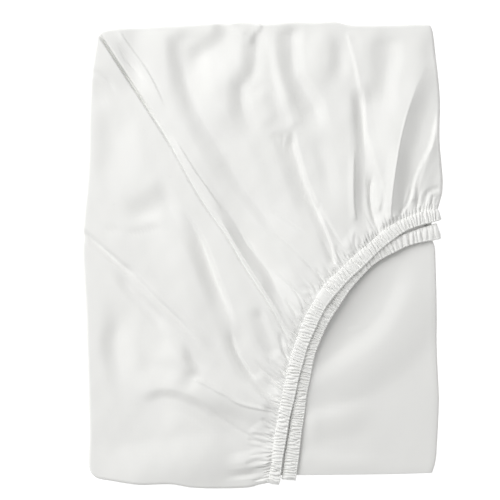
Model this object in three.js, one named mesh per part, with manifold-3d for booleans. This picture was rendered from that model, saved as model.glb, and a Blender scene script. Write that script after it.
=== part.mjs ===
// A fitted bed sheet folded into a flat packet. The cloth is one piece: a back-and-forth stack of
// doubled runs, whose top run ends in an inner pocket and whose bottom run goes up the left side
// into the outer pocket, the sewn corner that wraps the packet. Each pocket's free edge is
// gathered on its own stretch of elastic edging. Millimetres, +Z up, lying face up on z = 0;
// +Y runs from the open lower edge of the packet to its upper edge.
import * as THREE from 'three';
import Module from 'manifold-3d';

// ---- driving dimensions ----
const layer = { thick: 1.0, gap: 0.3 };      // one thickness of the stack, and the air to the next
const runs = 6;                              // back-and-forth runs, each a doubled layer
const pocket = { thick: 1.6, roll: 9, foot: 0.6, swell: 1.6, swellReach: 70 };
const inner = { thick: 1.0, roll: 1.5, rise: 45, clear: 0.4 };
const edging = { width: 13, crest: 1.6, dip: 0.9, lip: 1.2, pitch: 4.6, gap: 0.4, turn: 7 };
const gather = { height: 0.8, start: 5, reach: 22, vary: 16 };  // pleats beside the edging
const mouth = { x: 80, y: -30, spread: 50, rise: 5.6 };         // where the pockets gape the most
const edgingFoot = { upper: 4, lower: 7 };                      // how far down the sides they reach

const pairHalf = (layer.thick + layer.gap) / 2;   // from a doubled run's middle to one of its layers
const runPitch = 2 * (layer.thick + layer.gap);
const stackTop = runs * runPitch - layer.gap;
const lowerEdging = stackTop + 2.2;               // mid-height of each edging away from the mouth
const upperEdging = lowerEdging + 3.8;
const innerLevel = stackTop + 1.0;                // mid-height of the inner pocket's cloth

// The outer pocket's edge in plan, walked clockwise from the edging's lower end.
const pocketRim = [
  [6.6, -253.5], [-75, -256], [-100, -252.5], [-135, -253], [-178, -246], [-189, -233],
  [-190.5, -195], [-194.5, -60], [-198, 15], [-192, 95], [-190.5, 165], [-181.5, 238],
  [-172, 247], [-110, 251.5], [-14, 255.5], [2, 253.8], [32, 256.5], [55, 255.5], [80, 256.5],
  [96, 253], [178, 253], [186.5, 249], [191, 220], [196, 168], [195, 130], [199, 72], [194.5, 53],
];
// Centre lines of the two stretches of edging in plan, from the lower edge to the right edge.
const upperLine = [
  [13.2, -251.6], [21.5, -194], [30.5, -148], [44, -95.5], [66.5, -48], [105.5, -7], [146, 26.5],
  [192.4, 46.5],
];
const lowerLine = [
  [31, -248.6], [37.4, -194], [43.4, -149], [54.7, -95.8], [78.5, -50.2], [113.6, -9],
  [149.4, 12.2], [193.4, 23.8],
];
// Right-hand and lower edges of the stack.
const stackRight = [
  { y: -244, x: 181 }, { y: -236, x: 189 }, { y: -220, x: 192.5 }, { y: -160, x: 193.5 },
  { y: -60, x: 192.5 }, { y: 8, x: 190.5 }, { y: 18, x: 187 }, { y: 60, x: 186 },
  { y: 110, x: 188.5 }, { y: 150, x: 189 }, { y: 200, x: 185 }, { y: 246, x: 180 },
];
const stackFront = [
  { x: -190, y: -236 }, { x: -160, y: -242 }, { x: 40, y: -242.6 }, { x: 140, y: -241.5 },
  { x: 193, y: -240 },
];
const stackBack = [{ x: -190, y: 231 }, { x: -150, y: 243 }, { x: 193, y: 245 }];

// Main folds of the outer pocket. Each runs from `from` through `via` to `to`. `rise` is its
// height, negative for a trough. `left` and `right` are how far it spreads on either hand of
// someone walking from `from` to `to`, and `fade` is the share of its length that tapers at each end.
const pocketFolds = [
  // the corner seam: a trough beside a narrow ridge, then the wedge where the cloth drops away
  { from: [-182, 246], via: [-132, 170], to: [-92, 106], rise: -4.0, left: 22, right: 7, fade: 0.2 },
  { from: [-178, 246], via: [-75, 90], to: [36, -98], rise: 2.2, left: 10, right: 8, fade: 0.1 },
  { from: [-70, 92], via: [-8, -8], to: [40, -78], rise: -2.6, left: 9, right: 10, fade: 0.3 },
  // top panel, from the seam to the right edge
  { from: [-106, 256], via: [-97, 178], to: [-34, 78], rise: 3.6, left: 17, right: 34, fade: 0.15 },
  { from: [-22, 256], via: [-48, 188], to: [-26, 112], rise: 5.0, left: 20, right: 34, fade: 0.2 },
  { from: [14, 256], via: [36, 145], to: [82, -8], rise: 4.2, left: 26, right: 13, fade: 0.15 },
  { from: [14, 140], via: [42, 74], to: [76, -16], rise: -3.4, left: 8, right: 18, fade: 0.2 },
  { from: [63, 256], via: [66, 210], to: [72, 160], rise: 2.2, left: 26, right: 26, fade: 0.3 },
  { from: [86, 190], via: [91, 100], to: [96, 16], rise: 3.2, left: 12, right: 24, fade: 0.25 },
  { from: [100, 200], via: [107, 110], to: [108, 8], rise: -5.2, left: 12, right: 8, fade: 0.25 },
  { from: [106, 254], via: [118, 178], to: [133, 70], rise: 3.2, left: 18, right: 12, fade: 0.2 },
  { from: [120, 96], via: [121, 62], to: [128, 22], rise: -2.2, left: 7, right: 7, fade: 0.3 },
  { from: [178, 252], via: [157, 150], to: [140, 30], rise: 6.6, left: 20, right: 34, fade: 0.15 },
  { from: [188, 222], via: [170, 136], to: [150, 42], rise: -2.6, left: 20, right: 9, fade: 0.2 },
  { from: [198, 165], via: [184, 106], to: [165, 54], rise: 2.2, left: 14, right: 6, fade: 0.2 },
  // left panel, below the seam
  { from: [-98, 66], via: [-122, 60], to: [-152, 40], rise: -2.6, left: 10, right: 16, fade: 0.35 },
  { from: [-94, 52], via: [-62, -2], to: [-34, -72], rise: -4.6, left: 10, right: 26, fade: 0.2 },
  { from: [-36, -80], via: [-20, -122], to: [20, -152], rise: -3.6, left: 9, right: 14, fade: 0.2 },
  { from: [-66, 44], via: [-34, -32], to: [14, -116], rise: 2.4, left: 24, right: 14, fade: 0.3 },
  { from: [-198, 24], via: [-168, -1], to: [-136, -24], rise: -2.4, left: 6, right: 6, fade: 0.15 },
  { from: [-148, -24], via: [-130, -62], to: [-92, -124], rise: 4.0, left: 16, right: 44, fade: 0.3 },
  { from: [-136, -26], via: [-96, -62], to: [-52, -112], rise: 1.8, left: 10, right: 16, fade: 0.3 },
  { from: [-82, -134], via: [-34, -157], to: [22, -172], rise: 3.4, left: 26, right: 5, fade: 0.15 },
  { from: [-122, -166], via: [-88, -176], to: [-34, -206], rise: 4.2, left: 20, right: 44, fade: 0.25 },
  { from: [-176, -50], via: [-178, -104], to: [-164, -152], rise: 2.4, left: 18, right: 14, fade: 0.3 },
  { from: [-176, 165], via: [-177, 125], to: [-174, 88], rise: 1.6, left: 16, right: 12, fade: 0.35 },
  { from: [-52, -244], via: [-20, -242], to: [8, -240], rise: -3.0, left: 7, right: 5, fade: 0.25 },
  { from: [-30, -222], via: [-10, -222], to: [14, -222], rise: 2.4, left: 12, right: 10, fade: 0.3 },
];
// Soft waves of the plain panel, in the same form.
const panelFolds = [
  { from: [60, -142], via: [112, -100], to: [172, -10], rise: 0.9, left: 34, right: 34, fade: 0.3 },
  { from: [52, -176], via: [90, -168], to: [140, -160], rise: 0.5, left: 18, right: 18, fade: 0.4 },
];

// Grid lines of the outer pocket: where each starts on the rim, what it passes on the way, and the
// fraction of the edging's length at which it ends. They follow the folds.
const pocketGuides = [
  { end: 0.066, rim: [6.6, -253.5], via: [7.8, -236] },
  { end: 0.10, rim: [-40, -256], via: [-8, -236] },
  { end: 0.155, rim: [-120, -253], via: [-42, -226] },
  { end: 0.20, rim: [-190, -222], via: [-85, -198] },
  { end: 0.235, rim: [-192, -140], via: [-84, -156] },
  { end: 0.28, rim: [-194, -70], via: [-72, -124] },
  { end: 0.33, rim: [-197, 5], via: [-58, -84] },
  { end: 0.385, rim: [-192, 110], via: [-58, -6] },
  { end: 0.42, rim: [-184, 224], via: [-80, 76] },
  { end: 0.44, rim: [-180, 240], via: [-72, 86] },
  { end: 0.46, rim: [-166, 248], via: [-64, 94] },
  { end: 0.53, rim: [-108, 252], via: [-38, 96] },
  { end: 0.59, rim: [-50, 254], via: [0, 96] },
  { end: 0.65, rim: [0, 254], via: [34, 104] },
  { end: 0.70, rim: [52, 255.5], via: [70, 112] },
  { end: 0.75, rim: [96, 253], via: [104, 122] },
  { end: 0.81, rim: [132, 253], via: [128, 132] },
  { end: 0.86, rim: [176, 253], via: [154, 140] },
  { end: 0.89, rim: [191, 215], via: [166, 122] },
  { end: 0.91, rim: [196, 130], via: [172, 84] },
  { end: 0.935, rim: [194.5, 53], via: [177, 50.5] },
];
const pocketColumns = 84;
const pocketRows = 12;
const rowCrowding = 1.25;                    // above 1, rows lie closer together near the edging

// ---- small helpers ----
const clamp01 = (value) => Math.min(1, Math.max(0, value));
const smooth = (from, to, value) => {
  const f = clamp01((value - from) / (to - from));
  return f * f * (3 - 2 * f);
};
const mix = (a, b, f) => a + (b - a) * f;
const unevenness = (index) => Math.abs(Math.sin(index * 12.9898) * 43758.5453) % 1;

// Value of `field` in a table at `at`, with straight stretches between rows.
function lookUp(table, key, field, at) {
  const next = table.findIndex((row) => row[key] >= at);
  if (next === 0) return table[0][field];
  if (next < 0) return table[table.length - 1][field];
  const [a, b] = [table[next - 1], table[next]];
  return mix(a[field], b[field], (at - a[key]) / (b[key] - a[key]));
}

// A smooth plan curve through points, resampled to even steps.
function planCurve(points, steps) {
  const knots = points.map(([x, y]) => new THREE.Vector3(x, y, 0));
  return new THREE.CatmullRomCurve3(knots, false, 'centripetal').getSpacedPoints(steps);
}

function along(samples, fraction) {
  const place = clamp01(fraction) * (samples.length - 1);
  const index = Math.min(Math.floor(place), samples.length - 2);
  return samples[index].clone().lerp(samples[index + 1], place - index);
}

// Horizontal unit vector along a curve at a fraction, measured over a span of it.
function heading(samples, fraction, span = 0.01) {
  return along(samples, fraction + span).sub(along(samples, fraction - span)).normalize();
}

const rightHand = (v) => new THREE.Vector3(v.y, -v.x, 0);

// The nearest point of a polyline: its distance, the hand it lies on and how far along it is.
function nearestOn(samples, x, y) {
  let best = { distance: Infinity, left: true, fraction: 0 };
  for (let i = 0; i + 1 < samples.length; i += 1) {
    const [a, b] = [samples[i], samples[i + 1]];
    const [dx, dy] = [b.x - a.x, b.y - a.y];
    const f = clamp01(((x - a.x) * dx + (y - a.y) * dy) / (dx * dx + dy * dy));
    const [ox, oy] = [x - a.x - f * dx, y - a.y - f * dy];
    const distance = Math.hypot(ox, oy);
    if (distance < best.distance) {
      best = { distance, left: dx * oy - dy * ox > 0, fraction: (i + f) / (samples.length - 1) };
    }
  }
  return best;
}

// ---- folds ----
const foldSteps = 14;

// A quadratic curve through `via` halfway along.
function foldLine({ from, via, to }) {
  const [start, middle, finish] = [from, via, to].map((place) => new THREE.Vector2(...place));
  const control = middle.multiplyScalar(2).addScaledVector(start, -0.5).addScaledVector(finish, -0.5);
  return new THREE.QuadraticBezierCurve(start, control, finish).getPoints(foldSteps);
}

const withLines = (folds) => folds.map((fold) => ({ ...fold, line: foldLine(fold) }));

// Sum of the folds at a point: each is a bell across its line, tapered towards its ends.
function foldHeight(folds, x, y) {
  let sum = 0;
  for (const fold of folds) {
    const near = nearestOn(fold.line, x, y);
    const spread = near.left ? fold.left : fold.right;
    const q = near.distance / spread;
    if (q >= 1) continue;
    const taper = smooth(0, fold.fade, near.fraction) * smooth(0, fold.fade, 1 - near.fraction);
    sum += fold.rise * (1 - q * q) ** 2 * taper;
  }
  return sum;
}

const pocketFoldLines = withLines(pocketFolds);
const panelFoldLines = withLines(panelFolds);

// ---- plan curves and heights ----
const rimCurve = planCurve(pocketRim, 900);
const upperCurve = planCurve(upperLine, 240);
const lowerCurve = planCurve(lowerLine, 240);
const seamOffset = edging.width / 2 + edging.gap;

// The cloth's cut edge beside a stretch of edging.
function clothEdge(curve, fraction) {
  return along(curve, fraction).addScaledVector(rightHand(heading(curve, fraction)), -seamOffset);
}
const edgeSteps = 120;
const edgePlaces = Array.from({ length: edgeSteps + 1 }, (_, i) => i / edgeSteps);
const edgeLine = (curve) => edgePlaces.map((fraction) => clothEdge(curve, fraction));
const upperEdge = edgeLine(upperCurve);
const lowerEdge = edgeLine(lowerCurve);

// The packet swells where the pockets gape.
const gape = (x, y) => Math.exp(-((x - mouth.x) ** 2 + (y - mouth.y) ** 2) / (2 * mouth.spread ** 2));
const upperEdgingHeight = (x, y) => upperEdging + mouth.rise * gape(x, y);
const lowerEdgingHeight = (x, y) => lowerEdging + mouth.rise * gape(x, y);

// Mid-surface of the outer pocket: edging height, a slow swell away from the edging, and the folds.
function pocketHeight(x, y) {
  const { distance } = nearestOn(upperEdge, x, y);
  const swell = pocket.swell * smooth(0, pocket.swellReach, distance);
  const folds = foldHeight(pocketFoldLines, x, y) * smooth(0, gather.reach, distance);
  return upperEdgingHeight(x, y) + swell + folds;
}

// Mid-surface of the inner pocket: flat on the stack, then up to its edging.
function innerHeight(x, y) {
  const { distance } = nearestOn(lowerEdge, x, y);
  return mix(lowerEdgingHeight(x, y), innerLevel, smooth(0, inner.rise, distance));
}

// ---- sheets from grids ----
// A grid is a list of columns of points. Unit normals come from the grid's own neighbours.
function gridNormals(grid) {
  const last = grid.length - 1;
  return grid.map((column, i) => column.map((_, j) => {
    const across = grid[Math.min(i + 1, last)][j].clone().sub(grid[Math.max(i - 1, 0)][j]);
    const down = column[Math.min(j + 1, column.length - 1)].clone().sub(column[Math.max(j - 1, 0)]);
    return across.cross(down).normalize();
  }));
}

// The closed shell of a sheet: its two faces half a thickness from the grid, and a wall round it.
function thickSheet(grid, normals, thick) {
  const [ni, nj] = [grid.length, grid[0].length];
  const positions = [];
  for (const side of [1, -1]) {
    grid.forEach((column, i) => column.forEach((point, j) => {
      positions.push(...point.clone().addScaledVector(normals[i][j], side * thick / 2).toArray());
    }));
  }
  const top = (i, j) => i * nj + j;
  const base = (i, j) => ni * nj + i * nj + j;
  const triangles = [];
  const quad = (a, b, c, d) => triangles.push(a, b, c, a, c, d);
  for (let i = 0; i + 1 < ni; i += 1) {
    for (let j = 0; j + 1 < nj; j += 1) {
      quad(top(i, j), top(i + 1, j), top(i + 1, j + 1), top(i, j + 1));
      quad(base(i, j), base(i, j + 1), base(i + 1, j + 1), base(i + 1, j));
    }
    quad(top(i + 1, 0), top(i, 0), base(i, 0), base(i + 1, 0));
    quad(top(i, nj - 1), top(i + 1, nj - 1), base(i + 1, nj - 1), base(i, nj - 1));
  }
  for (let j = 0; j + 1 < nj; j += 1) {
    quad(top(0, j), top(0, j + 1), base(0, j + 1), base(0, j));
    quad(top(ni - 1, j + 1), top(ni - 1, j), base(ni - 1, j), base(ni - 1, j + 1));
  }
  return { positions, triangles };
}

// ---- the stack: a doubled layer, folded at its lower edge and run back and forth ----
const runSteps = 3;
const topRunSteps = 9;
const bendSteps = 3;
const frontSteps = 4;
const stackRowsY = [-0.97, -0.9, -0.8, -0.52, -0.25, 0.06, 0.23, 0.4, 0.68, 0.87, 1];

// Left end of the cloth at a height of the packet: the bottom run reaches into the pocket's wall.
const leftWallPoints = rimCurve.filter((point) => point.x < -170).sort((a, b) => a.y - b.y);
const leftWall = (y) => lookUp(leftWallPoints, 'y', 'x', y) + pocket.thick / 2;
// Near its corners the stack draws in from the wall.
const corner = { middle: -5, reach: 222, slope: 0.9 };
const cornerPull = (y) => corner.slope * Math.max(0, Math.abs(y - corner.middle) - corner.reach);
const foldInset = (bend, y) => (bend === 0 ? 0 : 7 + 2 * Math.sin(bend + y / 70));
const leftEnd = (bend, y) => leftWall(y) + cornerPull(y) + foldInset(bend, y);
const rightEnd = (bend, y) => lookUp(stackRight, 'y', 'x', y) - 1.4 * Math.abs(Math.sin(2 * bend + y / 90));

// The stations along the back-and-forth path, each with its run and place.
function stackStations() {
  const stations = [];
  for (let run = 0; run < runs; run += 1) {
    const steps = run === runs - 1 ? topRunSteps : runSteps;
    for (let i = 0; i <= steps; i += 1) stations.push({ run, place: i / steps });
    if (run === runs - 1) break;
    for (let i = 1; i < bendSteps; i += 1) stations.push({ run, turn: i / bendSteps });
  }
  return stations;
}

// Middle of the doubled layer at a station and the direction across it.
function stackFrame({ run, place, turn }, y) {
  const rightward = run % 2 === 0;
  const z = pairHalf + layer.thick / 2 + run * runPitch;
  const startX = rightward ? leftEnd(run, y) : rightEnd(run - 1, y);
  const endX = rightward ? rightEnd(run, y) : leftEnd(run + 1, y);
  if (turn === undefined) {
    return { x: mix(startX, endX, place), z, across: new THREE.Vector3(0, 0, rightward ? 1 : -1) };
  }
  const angle = turn * Math.PI;
  const outward = (rightward ? 1 : -1) * Math.sin(angle);
  return {
    x: endX + outward * runPitch / 2,
    z: z + runPitch / 2 * (1 - Math.cos(angle)),
    across: new THREE.Vector3(-Math.sin(angle), 0, (rightward ? 1 : -1) * Math.cos(angle)),
  };
}

const stackHalfDepth = 240;

function stackSheet() {
  const grid = [];
  const normals = [];
  const rows = [];
  for (const place of [...stackRowsY].reverse()) rows.push({ place, turn: Math.PI / 2 });
  for (let i = 0; i <= frontSteps; i += 1) rows.push({ place: -1, turn: Math.PI * (0.5 - i / frontSteps) });
  for (const place of stackRowsY) rows.push({ place, turn: -Math.PI / 2 });
  for (const station of stackStations().reverse()) {
    const column = [];
    const columnNormals = [];
    for (const { place, turn } of rows) {
      const roughX = stackFrame(station, place * stackHalfDepth).x;
      const front = lookUp(stackFront, 'x', 'y', roughX);
      const back = lookUp(stackBack, 'x', 'y', roughX);
      const y = mix(front, back, (place + 1) / 2);
      const { x, z, across } = stackFrame(station, y);
      const normal = across.clone().multiplyScalar(Math.sin(turn));
      normal.y = -Math.cos(turn);
      const share = clamp01((z - runPitch) / (stackTop - runPitch));
      const wave = share * foldHeight(panelFoldLines, x, y);
      const point = new THREE.Vector3(x, y, z + wave).addScaledVector(normal, pairHalf);
      column.push(point);
      columnNormals.push(normal);
    }
    grid.push(column);
    normals.push(columnNormals);
  }
  return thickSheet(grid, normals, layer.thick);
}

// ---- the inner pocket: from the top run's left end, over the stack to the lower edging ----
const innerRowsY = [
  -241, -215, -185, -155, -125, -98, -74, -54, -38, -22, -8, 2, 8, 13, 17.5, 40, 90, 140, 190, 243,
];
const innerColumns = 9;
const innerFarX = 183;
const innerRollSteps = 3;
const innerFootDrop = 0.7;                   // below the middle of the top run, which it meets

function innerSheet() {
  const topRunMiddle = stackTop - pairHalf - layer.thick / 2;
  const foot = topRunMiddle - innerFootDrop;
  const grid = innerRowsY.map((y) => {
    const wallX = leftEnd(runs, y);
    const endX = Math.min(innerFarX, nearestEdgeX(y) - inner.clear);
    const column = [new THREE.Vector3(wallX, y, foot)];
    for (let i = 0; i <= innerRollSteps; i += 1) {
      const angle = (i / innerRollSteps) * Math.PI / 2;
      column.push(new THREE.Vector3(
        wallX + inner.roll * (1 - Math.cos(angle)),
        y,
        innerLevel - inner.roll * (1 - Math.sin(angle)),
      ));
    }
    for (let i = 1; i <= innerColumns; i += 1) {
      const x = mix(wallX + inner.roll, endX, i / innerColumns);
      column.push(new THREE.Vector3(x, y, innerHeight(x, y)));
    }
    return column;
  });
  const normals = gridNormals(grid).map((column) => column.map((n) => n.negate()));
  for (const column of normals) column[column.length - 1].set(0, 0, 1);
  return thickSheet(grid.reverse(), normals.reverse(), inner.thick);
}

// Where the inner pocket's edge crosses a height of the packet.
function nearestEdgeX(y) {
  const after = lowerEdge.findIndex((point) => point.y >= y);
  if (after < 0) return innerFarX;
  const [a, b] = [lowerEdge[Math.max(after - 1, 0)], lowerEdge[Math.max(after, 1)]];
  return mix(a.x, b.x, (y - a.y) / (b.y - a.y));
}

// ---- the outer pocket: a rolled edge all round, then the folds down to the upper edging ----
const rollAngles = [0, 32, 62, 90].map(THREE.MathUtils.degToRad);
const inwardSpan = 0.022;

// A guide with its start as a fraction of the rim.
function placedGuide({ end, rim, via }) {
  return { end, start: nearestOn(rimCurve, ...rim).fraction, viaX: via[0], viaY: via[1] };
}

function pocketGrid() {
  const guides = pocketGuides.map(placedGuide);
  const first = guides[0].end;
  const last = guides[guides.length - 1].end;
  const wallInset = pocket.thick / 2;
  const reach = pocket.roll - wallInset;
  const grid = [];
  for (let i = 0; i <= pocketColumns; i += 1) {
    const end = mix(first, last, i / pocketColumns);
    const start = lookUp(guides, 'end', 'start', end);
    const rim = along(rimCurve, start);
    const inward = rightHand(heading(rimCurve, start, inwardSpan));
    const shoulder = rim.clone().addScaledVector(inward, pocket.roll);
    const finish = clothEdge(upperCurve, end);
    const [viaX, viaY] = ['viaX', 'viaY'].map((field) => lookUp(guides, 'end', field, end));
    const via = new THREE.Vector3(viaX, viaY, 0);
    const control = via.multiplyScalar(2).addScaledVector(shoulder, -0.5).addScaledVector(finish, -0.5);
    const line = new THREE.QuadraticBezierCurve3(shoulder, control, finish);
    const top = pocketHeight(shoulder.x, shoulder.y);
    const column = [rim.clone().addScaledVector(inward, wallInset).setZ(pocket.foot)];
    for (const angle of rollAngles) {
      const inset = wallInset + reach * (1 - Math.cos(angle));
      column.push(rim.clone().addScaledVector(inward, inset).setZ(top - reach * (1 - Math.sin(angle))));
    }
    for (let j = 1; j <= pocketRows; j += 1) {
      const f = 1 - (1 - j / pocketRows) ** rowCrowding;
      const point = line.getPoint(f);
      const { distance } = nearestOn(upperEdge, point.x, point.y);
      const reachOut = gather.reach + gather.vary * unevenness(i);
      const pleat = smooth(0, gather.start, distance) * (1 - smooth(gather.start, reachOut, distance));
      const side = i % 2 === 0 ? 1 : -1;
      column.push(point.setZ(pocketHeight(point.x, point.y) + side * gather.height * pleat));
    }
    grid.push(column);
  }
  return grid;
}

// Along the edging the sheet's cut wall stands square to the edging, so the gap to it stays even.
function squareToEdging(grid, normals, curve) {
  const lastColumn = grid.length - 1;
  const lastRow = grid[0].length - 1;
  grid.forEach((column, i) => column.forEach((point, j) => {
    if (j !== lastRow && i !== 0 && i !== lastColumn) return;
    const { fraction } = nearestOn(curve, point.x, point.y);
    const outward = rightHand(heading(curve, fraction));
    normals[i][j].addScaledVector(outward, -normals[i][j].dot(outward)).normalize();
  }));
}

function pocketSheet() {
  const grid = pocketGrid();
  const normals = gridNormals(grid);
  squareToEdging(grid, normals, upperCurve);
  return thickSheet(grid, normals, pocket.thick);
}

// ---- the gathered edging: a flat ribbed tube that turns down over the packet's edges ----
function edgingPath(curve, height, footHeight) {
  const length = curve[0].distanceTo(curve[1]) * (curve.length - 1);
  const step = edging.pitch / 2;
  const stations = [];
  const turnDown = (atStart) => {
    const fraction = atStart ? 0 : 1;
    const end = along(curve, fraction);
    const inwards = heading(curve, fraction, edging.turn / length).multiplyScalar(atStart ? 1 : -1);
    const shoulder = end.clone().addScaledVector(inwards, edging.turn);
    const top = height(shoulder.x, shoulder.y);
    const part = [];
    const drops = Math.round((top - edging.turn - footHeight) / step);
    for (let i = 0; i < drops; i += 1) {
      part.push(end.clone().setZ(mix(footHeight, top - edging.turn, i / drops)));
    }
    const bends = Math.round(edging.turn * Math.PI / 2 / step);
    for (let i = 0; i < bends; i += 1) {
      const angle = (i / bends) * Math.PI / 2;
      const place = end.clone().addScaledVector(inwards, edging.turn * (1 - Math.cos(angle)));
      part.push(place.setZ(top - edging.turn * (1 - Math.sin(angle))));
    }
    return part.map((point) => ({ point, fraction: atStart ? 0 : 1 }));
  };
  stations.push(...turnDown(true));
  const flat = length - 2 * edging.turn;
  const steps = Math.round(flat / step);
  for (let i = 0; i <= steps; i += 1) {
    const fraction = (edging.turn + flat * i / steps) / length;
    const point = along(curve, fraction);
    stations.push({ point: point.setZ(height(point.x, point.y)), fraction });
  }
  stations.push(...turnDown(false).reverse());
  return stations;
}

function edgingGeometry(curve, height, footHeight) {
  const stations = edgingPath(curve, height, footHeight);
  const half = edging.width / 2;
  const flat = half - edging.lip;
  const sides = 6;                           // points of the flat tube's section
  const positions = [];
  stations.forEach(({ point, fraction }, i) => {
    const before = stations[Math.max(i - 1, 0)].point;
    const after = stations[Math.min(i + 1, stations.length - 1)].point;
    const forward = after.clone().sub(before).normalize();
    const outward = rightHand(heading(curve, fraction));
    const up = outward.clone().cross(forward).normalize();
    const rib = i % 2 === 0 ? edging.crest : edging.dip;
    const section = [[-half, 0], [-flat, rib], [flat, rib], [half, 0], [flat, -rib], [-flat, -rib]];
    for (const [u, v] of section) {
      positions.push(...point.clone().addScaledVector(outward, u).addScaledVector(up, v).toArray());
    }
  });
  const triangles = [];
  const at = (i, k) => i * sides + (k % sides);
  for (let i = 0; i + 1 < stations.length; i += 1) {
    for (let k = 0; k < sides; k += 1) {
      triangles.push(at(i, k), at(i, k + 1), at(i + 1, k + 1), at(i, k), at(i + 1, k + 1), at(i + 1, k));
    }
  }
  const end = stations.length - 1;
  for (let k = 1; k + 1 < sides; k += 1) {
    triangles.push(at(0, 0), at(0, k + 1), at(0, k));
    triangles.push(at(end, 0), at(end, k), at(end, k + 1));
  }
  return toGeometry({ positions, triangles });
}

// ---- meshes ----
const wasm = await Module();
wasm.setup();

function toSolid({ positions, triangles }) {
  return new wasm.Manifold(new wasm.Mesh({
    numProp: 3,
    vertProperties: Float32Array.from(positions),
    triVerts: Uint32Array.from(triangles),
  }));
}

function toGeometry({ positions, triangles }) {
  const geometry = new THREE.BufferGeometry();
  geometry.setAttribute('position', new THREE.Float32BufferAttribute(positions, 3));
  geometry.setIndex(Array.from(triangles));
  geometry.computeVertexNormals();
  return geometry;
}

function named(name, geometry, material) {
  const mesh = new THREE.Mesh(geometry, material);
  mesh.name = name;
  return mesh;
}

const cottonCloth = new THREE.MeshStandardMaterial({ color: 0xf1f1ee, roughness: 0.85, metalness: 0 });
const cottonEdging = new THREE.MeshStandardMaterial({ color: 0xeeeeea, roughness: 0.9, metalness: 0 });

const cloth = toSolid(stackSheet()).add(toSolid(innerSheet())).add(toSolid(pocketSheet())).getMesh();
const clothGeometry = toGeometry({ positions: cloth.vertProperties, triangles: cloth.triVerts });
const sheet = new THREE.Group();
sheet.add(
  named('folded_sheet', clothGeometry, cottonCloth),
  named('elastic_upper', edgingGeometry(upperCurve, upperEdgingHeight, edgingFoot.upper), cottonEdging),
  named('elastic_lower', edgingGeometry(lowerCurve, lowerEdgingHeight, edgingFoot.lower), cottonEdging),
);

export default sheet;
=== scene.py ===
"""A white fitted bed sheet folded into a flat packet, dressed around its solids.

The cloth follows the folds of the solid, higher, with finer folds, gathers and a sewn corner seam of
its own. Each stretch of elastic edging is a flat ruffled tube of binding. Sizes are in millimetres, in
the row's frame, until a mesh is made. Lights and the floor are in metres.
"""
from collections import namedtuple

import bpy
import numpy as np
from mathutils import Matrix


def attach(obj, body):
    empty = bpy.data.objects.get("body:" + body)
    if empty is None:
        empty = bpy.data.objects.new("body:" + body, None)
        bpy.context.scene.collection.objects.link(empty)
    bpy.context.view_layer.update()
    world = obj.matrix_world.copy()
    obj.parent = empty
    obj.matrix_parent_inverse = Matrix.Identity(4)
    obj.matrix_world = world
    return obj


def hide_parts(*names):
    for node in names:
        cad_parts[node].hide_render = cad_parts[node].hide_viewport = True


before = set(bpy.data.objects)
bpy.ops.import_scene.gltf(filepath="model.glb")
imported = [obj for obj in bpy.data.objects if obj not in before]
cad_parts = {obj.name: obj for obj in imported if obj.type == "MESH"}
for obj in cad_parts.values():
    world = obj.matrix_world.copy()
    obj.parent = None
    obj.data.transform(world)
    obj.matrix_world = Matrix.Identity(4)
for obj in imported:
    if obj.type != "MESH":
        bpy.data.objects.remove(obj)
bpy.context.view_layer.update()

MM = 0.001

# ---- driving sizes: layers as in the solids, a tighter roll, and a higher mouth and edgings ----
LAYER_THICK, LAYER_GAP, RUNS = 1.0, 0.3, 6
POCKET_THICK, POCKET_ROLL, POCKET_SWELL, SWELL_REACH = 1.6, 4.0, 1.6, 70.0
INNER_THICK, INNER_ROLL, INNER_RISE = 1.0, 1.5, 45.0
EDGING_CREST, EDGING_DIP, EDGING_BASE, EDGING_TURN, EDGING_GAP = 3.9, -0.6, 1.0, 3.0, 0.2
PLAIN_STRETCH, PLAIN_HALF = (66, -48), 7.0   # where the upper edging is hardly gathered
MOUTH_X, MOUTH_Y, MOUTH_SPREAD, MOUTH_RISE = 74.0, -48.0, 58.0, 8.0

PAIR_HALF = (LAYER_THICK + LAYER_GAP) / 2
RUN_PITCH = 2 * (LAYER_THICK + LAYER_GAP)
STACK_TOP = RUNS * RUN_PITCH - LAYER_GAP
LOWER_EDGING = STACK_TOP + 2.4
UPPER_EDGING = LOWER_EDGING + 2.9   # mid-height of an edging's path away from the mouth
INNER_LEVEL = STACK_TOP + 1.0
TUCK = 1.5                      # how far a cloth edge goes in under its edging
POCKET_FOOT = 0.1               # the pocket's wall starts this far above the floor
MAIN_FADE, FINE_FADE = (0, 18), (-4, 6)   # distances from the edging over which the folds set in

# The outer pocket's edge in plan, clockwise from the edging's lower end, tucked in under it.
POCKET_RIM = [
    (8.6, -251.2), (-2, -253.2), (-12, -256.2), (-75, -256.4), (-100, -252.5), (-135, -253),
    (-165, -249), (-183, -245.5), (-190, -237), (-190.5, -195), (-194.5, -60), (-198, 15),
    (-192, 95), (-190.5, 165), (-187, 205), (-182.5, 234), (-180.5, 241.5), (-175, 245.5),
    (-160, 248.2), (-110, 251.5), (-14, 255.5), (2, 253.8), (32, 256.5), (55, 255.5), (80, 256.5),
    (96, 253), (178, 253), (185.2, 252), (187.4, 247), (191, 220), (196, 168), (195, 130),
    (199, 72), (193.6, 49),
]
# Centre lines of the two stretches of edging in plan.
UPPER_LINE = [
    (13.2, -251.6), (21.5, -194), (30.5, -148), (44, -95.5), (66.5, -48), (105.5, -7), (148, 28.2),
    (170, 38.2), (193, 44.6),
]
LOWER_LINE = [
    (31, -248.6), (37.4, -194), (43.4, -149), (54.7, -95.8), (78.5, -50.2), (113.6, -9),
    (149.4, 12.2), (171, 19.8), (194, 24.2),
]
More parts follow.
